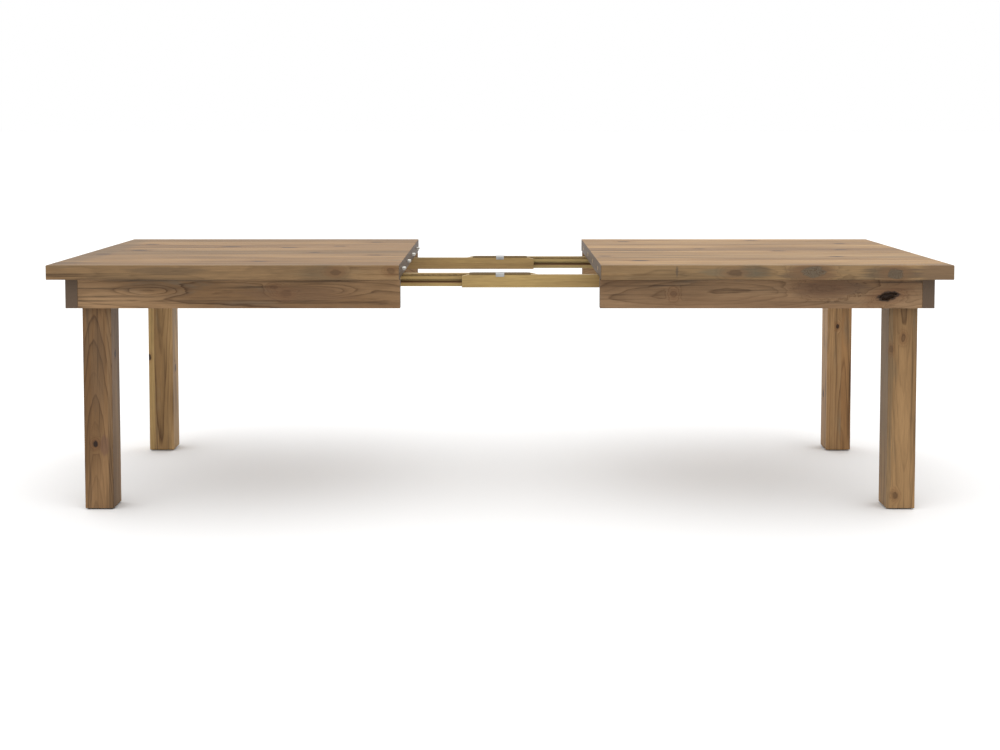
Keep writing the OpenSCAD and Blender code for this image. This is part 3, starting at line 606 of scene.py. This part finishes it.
# marks seen on a leg's front face only
frontLegFace = {"toward": -1.0, "reach": 0.410}
backLegFace = {"toward": -1.0, "reach": -0.380}
legLooks = {
    "left_front": {
        "look": {"heart": (-0.004, 0.050), "lean": (0.01, -0.06), "scatter": (0.0, 0.0, 0.02),
            "stain": (0.71, 0.65, 0.57)}, "seams": (-1.209,),
        "knots": [{"at": (0.204, -1.2496), "size": (0.011, 0.008), "glow": 1.3, "swirl": 5.0, **frontLegFace},
            {"at": (0.480, -0.400), "size": (0.012, 0.008), "face": "b"}],
        "stainsAndShade": [{"at": (0.200, -1.222), "size": (0.030, 0.016), "tone": (0.170, 0.095, 0.070)},
            {"at": (0.450, -1.235), "size": (0.160, 0.020), "tone": (0.150, 0.100, 0.062), "amount": 0.4}],
    },
    "right_front": {
        "look": {"heart": (0.010, 0.060), "lean": (0.0, 0.03), "scatter": (0.0, 0.0, 0.02),
            "stain": (0.93, 0.85, 0.69)}, "seams": (1.2097,),
        "knots": [{"at": (0.534, 1.240), "size": (0.014, 0.007), "dark": 0.4, **frontLegFace},
            {"at": (0.500, 1.203), "size": (0.012, 0.006), "dark": 0.35, **frontLegFace},
            {"at": (0.044, 1.222), "size": (0.012, 0.008), "dark": 0.5, **frontLegFace}],
        "stainsAndShade": [{"at": (0.350, 1.200), "size": (0.500, 0.008), "tone": (0.160, 0.135, 0.100),
            "amount": 0.45}],
    },
    "left_back": {
        "look": {"heart": (0.0, 0.055), "lean": (0.0, 0.02), "scatter": (0.0, 0.0, 0.02),
            "stain": (1.36, 1.37, 1.21)}, "seams": (-1.262,),
        "knots": [{"at": (0.345, -1.281), "size": (0.012, 0.007), **backLegFace},
            {"at": (0.300, 0.390), "size": (0.014, 0.008), "face": "b"}],
        "stainsAndShade": [{"at": (0.350, -1.276), "size": (0.450, 0.013), "tone": (0.300, 0.200, 0.090),
            "amount": 0.6}],
    },
    "right_back": {
        "look": {"heart": (0.012, 0.050), "lean": (0.0, -0.02), "scatter": (0.0, 0.0, 0.02),
            "stain": (1.37, 1.26, 1.06)}, "seams": (1.247,),
        "knots": [{"at": (0.458, 1.232), "size": (0.009, 0.006), **backLegFace},
            {"at": (0.200, 0.405), "size": (0.013, 0.008), "face": "b"}],
    },
}
for number, (place, looks) in enumerate(legLooks.items()):
    node = place + "_leg"
    low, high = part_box(node)
    middle = ((low[2] + high[2]) / 2, (low[0] + high[0]) / 2, low[1])
    material = woodMaterial(node + "_wood", "z", looks["look"], 61.0 + number * 3.0, looks["seams"],
        looks["knots"], looks.get("stainsAndShade", ()), middle)
    easedPiece(node, material, legSizes["edge"])
print("legs made")


# hidden frame

bareWood = {"pale": (0.46, 0.33, 0.19), "tan": (0.36, 0.24, 0.13), "late": (0.26, 0.16, 0.08), "streaks": 0.2,
    "grey": (0.36, 0.27, 0.17), "red": (0.32, 0.18, 0.09), "endGrain": (0.22, 0.15, 0.09), "figure": 0.5}
bareSizes = {"edge": 0.0008}
bareAlong = {"corner_blocks": "y", "cross_batten": "y", "apron_dowels": "x"}
for number, half in enumerate(halves):
    for kind, along in bareAlong.items():
        node = f"{half}_{kind}"
        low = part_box(node)[0]
        material = woodMaterial(node + "_wood", along, bareWood, 81.0 + number,
            centre=(0.0, low[0], low[2]) if along == "y" else (0.0, 0.0, low[2]))
        easedPiece(node, material, bareSizes["edge"], 2)
print("hidden frame made")


# slides

poplar = {"pale": (0.370, 0.255, 0.095), "tan": (0.255, 0.165, 0.065), "late": (0.180, 0.105, 0.040),
    "streak": (0.110, 0.060, 0.022), "grey": (0.300, 0.250, 0.110), "red": (0.300, 0.150, 0.065),
    "endGrain": (0.210, 0.150, 0.080), "ring": 0.0045, "heart": (0.0, -0.06), "figure": 0.6,
    "streaks": 0.45, "minerals": 0.2, "roughness": 0.40}
slideSizes = {"railEdge": 0.0007, "coverEdge": 0.0003, "keyEdge": 0.0005, "strapEdge": 0.0003}
# a dark reddish band low in each rail's dovetail groove: painted shade where the groove's back wall lies in
# shadow
grooveShade = {"tone": (0.085, 0.030, 0.010), "amount": 0.85, "half": 0.0030, "up": 0.0135, "deep": 0.014}
for number, half in enumerate(halves):
    for side in ("front", "back"):
        node = f"{half}_{side}_rail"
        low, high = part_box(node)
        # the mating face looks forward where the rail lies behind the slide's middle plane
        facing = -1.0 if (half, side) in (("left", "front"), ("right", "back")) else 1.0
        plane = low[1] if facing < 0 else high[1]
        # the groove's band of painted shade, seen only within about 14 mm of the mating face, inside the
        # groove
        grooveShadeMark = {"at": (0.0, low[2] + grooveShade["up"]), "size": (2.0, grooveShade["half"]), "face": "b",
            "toward": facing, "reach": facing * plane - grooveShade["deep"], "tone": grooveShade["tone"],
            "amount": grooveShade["amount"]}
        material = woodMaterial(node + "_wood", "x", poplar, 101.0 + number * 5 + (side == "back") * 2,
            stainsAndShade=[grooveShadeMark], centre=((low[0] + high[0]) / 2, low[1], high[2]))
        easedPiece(node, material, slideSizes["railEdge"], 2)
coverLook = {"pale": (0.130, 0.074, 0.018), "tan": (0.095, 0.053, 0.012), "late": (0.050, 0.030, 0.005),
    "grey": (0.080, 0.055, 0.012), "red": (0.080, 0.048, 0.008), "streaks": 0.3, "figure": 0.3,
    "roughness": 0.80}
keyLook = {"pale": (0.30, 0.15, 0.07), "tan": (0.22, 0.10, 0.045), "late": (0.14, 0.06, 0.03),
    "grey": (0.22, 0.13, 0.07), "streaks": 0.3, "roughness": 0.38}
coverWood = woodMaterial("cover_wood", "x", coverLook, 121.0)
keyWood = woodMaterial("key_wood", "x", keyLook, 131.0)
for side in ("front", "back"):
    easedPiece(side + "_slide_cover", coverWood, slideSizes["coverEdge"], 2)
    easedPiece(side + "_slide_key", keyWood, slideSizes["keyEdge"], 2)
    easedPiece(side + "_slide_strap", materialOf["zinc_steel"], slideSizes["strapEdge"], 2, 0.004)
print("slides made")


# screws and studs, by geometry nodes

class Graph:
    # a geometry node tree with one way to add any node
    def __init__(self, name, inputs):
        self.tree = bpy.data.node_groups.new(name, "GeometryNodeTree")
        self.tree.interface.new_socket("Geometry", in_out="OUTPUT", socket_type="NodeSocketGeometry")
        self.tree.interface.new_socket("Geometry", in_out="INPUT", socket_type="NodeSocketGeometry")
        self.ids = {}
        for title, (kind, value) in inputs.items():
            socket = self.tree.interface.new_socket(title, in_out="INPUT", socket_type="NodeSocket" + kind)
            if kind != "Material":
                socket.default_value = value
            self.ids[title] = socket.identifier
        self.source = self.tree.nodes.new("NodeGroupInput")
        self.sink = self.tree.nodes.new("NodeGroupOutput")

    def given(self, title):
        return self.source.outputs[title]

    def add(self, kind, settings=None, sockets=None, out=0):
        node = self.tree.nodes.new(kind)
        for key, value in (settings or {}).items():
            setattr(node, key, value)
        for key, value in (sockets or {}).items():
            for item in value if isinstance(value, list) else [value]:
                if isinstance(item, bpy.types.NodeSocket):
                    self.tree.links.new(item, node.inputs[key])
                else:
                    node.inputs[key].default_value = item
        return node.outputs[out]

    def calc(self, operation, first, second=0.0):
        return self.add("ShaderNodeMath", {"operation": operation}, {0: first, 1: second})

    def spread(self, shape, material):
        # one copy of the shape at every point, turned to its aim, made real
        aim = self.add("GeometryNodeInputNamedAttribute", {"data_type": "FLOAT_VECTOR"}, {"Name": "aim"})
        turn = self.add("FunctionNodeAlignRotationToVector", {"axis": "Z"}, {"Vector": aim})
        placed = self.add("GeometryNodeInstanceOnPoints", None, {"Points": self.given("Geometry"),
            "Instance": shape, "Rotation": turn})
        real = self.add("GeometryNodeRealizeInstances", None, {0: placed})
        done = self.add("GeometryNodeSetMaterial", None, {"Geometry": real, "Material": material})
        self.tree.links.new(done, self.sink.inputs[0])


def screwGraph():
    graph = Graph("screws", {"Head Radius": ("Float", 0.0042), "Head Height": ("Float", 0.0024),
        "Shank Radius": ("Float", 0.0022), "Length": ("Float", 0.03), "Recess": ("Float", 0.0011),
        "Finish": ("Material", None)})
    given = graph.given
    dome = graph.add("GeometryNodeMeshUVSphere", None, {"Segments": 20, "Rings": 10, "Radius": 1.0})
    flat = graph.add("ShaderNodeCombineXYZ", None, {0: given("Head Radius"), 1: given("Head Radius"),
        2: given("Head Height")})
    dome = graph.add("GeometryNodeTransform", None, {"Geometry": dome, "Scale": flat})
    arm = graph.calc("MULTIPLY", given("Recess"), 4.2)
    deep = graph.calc("MULTIPLY", given("Head Height"), 1.5)
    middle = graph.add("ShaderNodeCombineXYZ", None, {2: graph.calc("MULTIPLY", given("Head Height"), -1.0)})
    bars = []
    for x, y in ((arm, given("Recess")), (given("Recess"), arm)):
        size = graph.add("ShaderNodeCombineXYZ", None, {0: x, 1: y, 2: deep})
        bar = graph.add("GeometryNodeMeshCube", None, {"Size": size})
        bars.append(graph.add("GeometryNodeTransform", None, {"Geometry": bar, "Translation": middle}))
    head = graph.add("GeometryNodeMeshBoolean", {"operation": "DIFFERENCE"}, {"Mesh 1": dome, "Mesh 2": bars})
    shank = graph.add("GeometryNodeMeshCylinder", None, {"Vertices": 16, "Radius": given("Shank Radius"),
        "Depth": given("Length")})
    lift = graph.add("ShaderNodeCombineXYZ", None, {2: graph.calc("MULTIPLY", given("Length"), 0.5)})
    shank = graph.add("GeometryNodeTransform", None, {"Geometry": shank, "Translation": lift})
    whole = graph.add("GeometryNodeJoinGeometry", None, {0: [head, shank]})
    graph.spread(whole, given("Finish"))
    return graph


def studGraph():
    # a threaded rod: rings of thread along its whole length
    graph = Graph("studs", {"Radius": ("Float", 0.004), "Length": ("Float", 0.1), "Pitch": ("Float", 0.00125),
        "Finish": ("Material", None)})
    given = graph.given
    top = graph.add("ShaderNodeCombineXYZ", None, {2: given("Length")})
    line = graph.add("GeometryNodeCurvePrimitiveLine", None, {"Start": (0.0, 0.0, 0.0), "End": top})
    count = graph.calc("MULTIPLY", graph.calc("DIVIDE", given("Length"), given("Pitch")), 2.0)
    line = graph.add("GeometryNodeResampleCurve", None, {"Curve": line, "Count": graph.calc("ROUND", count)})
    odd = graph.calc("MODULO", graph.add("GeometryNodeInputIndex"), 2.0)
    width = graph.calc("SUBTRACT", 1.0, graph.calc("MULTIPLY", odd, 0.14))
    line = graph.add("GeometryNodeSetCurveRadius", None, {"Curve": line, "Radius": width})
    ring = graph.add("GeometryNodeCurvePrimitiveCircle", None, {"Resolution": 14, "Radius": given("Radius")})
    rod = graph.add("GeometryNodeCurveToMesh", None,
        {"Curve": line, "Profile Curve": ring, "Fill Caps": True})
    graph.spread(rod, given("Finish"))
    return graph


def axisOf(points):
    # an island's long axis, from its narrow end to its wide end
    middle = points.mean(0)
    axis = np.linalg.svd(points - middle, full_matrices=False)[2][0]
    along = (points - middle) @ axis
    wide = np.linalg.norm(points - middle - along[:, None] * axis, axis=1)
    if wide[along < 0].max() > wide[along > 0].max():
        axis = -axis
    # the wide end first: the aim runs from the head to the tip
    return -axis


def placedBy(graph, name, node, values, places):
    mesh = bpy.data.meshes.new(name)
    mesh.from_pydata([tuple(p) for p, aim in places], [], [])
    aims = mesh.attributes.new("aim", "FLOAT_VECTOR", "POINT")
    aims.data.foreach_set("vector", np.array([aim for p, aim in places], np.float32).ravel())
    points = bpy.data.objects.new(name + "_points", mesh)
    scene.collection.objects.link(points)
    modifier = points.modifiers.new("make", "NODES")
    modifier.node_group = graph.tree
    for title, value in values.items():
        modifier[graph.ids[title]] = value
    evaluated = points.evaluated_get(bpy.context.evaluated_depsgraph_get())
    made = bpy.data.objects.new(name, bpy.data.meshes.new_from_object(evaluated))
    bpy.data.objects.remove(points)
    scene.collection.objects.link(made)
    return dress(made, node, values["Finish"])


screws = screwGraph()
screwSizes = {"Head Radius": 0.0042, "Head Height": 0.0024, "Shank Radius": 0.0021, "Recess": 0.0010}
screwNodes = [n for n in nodes if n.endswith("_screws")]
for node in sorted(screwNodes):
    groups = {}
    for points in islandsOf(node):
        axis = axisOf(points)
        reach = points @ axis
        head = points[reach < reach.min() + 0.0001].mean(0)
        length = round(float(reach.max() - reach.min()) - screwSizes["Head Height"], 4)
        groups.setdefault(length, []).append((head + axis * screwSizes["Head Height"], axis))
    for length, places in sorted(groups.items()):
        values = {**screwSizes, "Length": length, "Finish": materialOf["dark_steel"]}
        placedBy(screws, f"{node}_{round(length * 1000)}mm", node, values, places)
studs = studGraph()
studSizes = {"Radius": 0.004, "Pitch": 0.00125}
for half in halves:
    node = half + "_hanger_bolts"
    places = []
    for points in islandsOf(node):
        axis = np.linalg.svd(points - points.mean(0), full_matrices=False)[2][0]
        reach = (points - points.mean(0)) @ axis
        places.append((points.mean(0) + axis * reach.min(), axis))
        length = float(reach.max() - reach.min())
    placedBy(studs, node + "_threaded", node, {**studSizes, "Length": length,
        "Finish": materialOf["zinc_steel"]}, places)
print("screws and studs made")


# what stays as the frame has it

rackFinish = metalMaterial("rack_finish", (0.36, 0.25, 0.11), (0.22, 0.15, 0.07), 0.55, 0.30, 500.0, 0.2)
for node, piece in nodes.items():
    slot = slotOf[node]
    if slot in materialOf:
        paint(piece, rackFinish if node.endswith("_rack") else materialOf[slot])
print("metal parts finished")


# stage, light and camera

stageSizes = {"floor": 2000.0, "drop": 0.0005, "white": (0.78, 0.78, 0.78), "sky": 1.0, "sun": 2.0,
    "spread": 110.0, "tilt": 6.0}


def makeStage(sizes):
    half = sizes["floor"]
    bm = bmesh.new()
    corners = ((-1, -1), (1, -1), (1, 1), (-1, 1))
    bm.faces.new([bm.verts.new((x * half, y * half, -sizes["drop"])) for x, y in corners])
    floor = newPiece("floor", bm)
    shader = Shader("floor")
    floor.data.materials.append(shader.finish({"Base Color": sizes["white"], "Roughness": 0.9,
        "Specular IOR Level": 0.0}))
    world = bpy.data.worlds.new("studio")
    world.use_nodes = True
    background = world.node_tree.nodes["Background"]
    background.inputs["Color"].default_value = (1.0, 1.0, 1.0, 1.0)
    background.inputs["Strength"].default_value = sizes["sky"]
    scene.world = world
    # one very wide lamp far above: its light is even over the whole floor
    lamp = bpy.data.lights.new("overhead", "SUN")
    lamp.energy, lamp.angle = sizes["sun"], math.radians(sizes["spread"])
    light = bpy.data.objects.new("overhead", lamp)
    light.rotation_euler = (math.radians(sizes["tilt"]), 0.0, 0.0)
    scene.collection.objects.link(light)
    scene.view_settings.view_transform = "Standard"


cameraSizes = {"place": (0.0, -4.6657, 1.1687), "lens": 49.82, "sensor": 36.0, "shift": -0.17, "down": 3.05}


def makeCamera(sizes):
    data = bpy.data.cameras.new("camera")
    data.lens, data.sensor_width, data.shift_y = sizes["lens"], sizes["sensor"], sizes["shift"]
    camera = bpy.data.objects.new("camera", data)
    camera.location = sizes["place"]
    camera.rotation_euler = (math.radians(90.0 - sizes["down"]), 0.0, 0.0)
    scene.collection.objects.link(camera)
    scene.camera = camera


makeStage(stageSizes)
makeCamera(cameraSizes)
print("stage made")
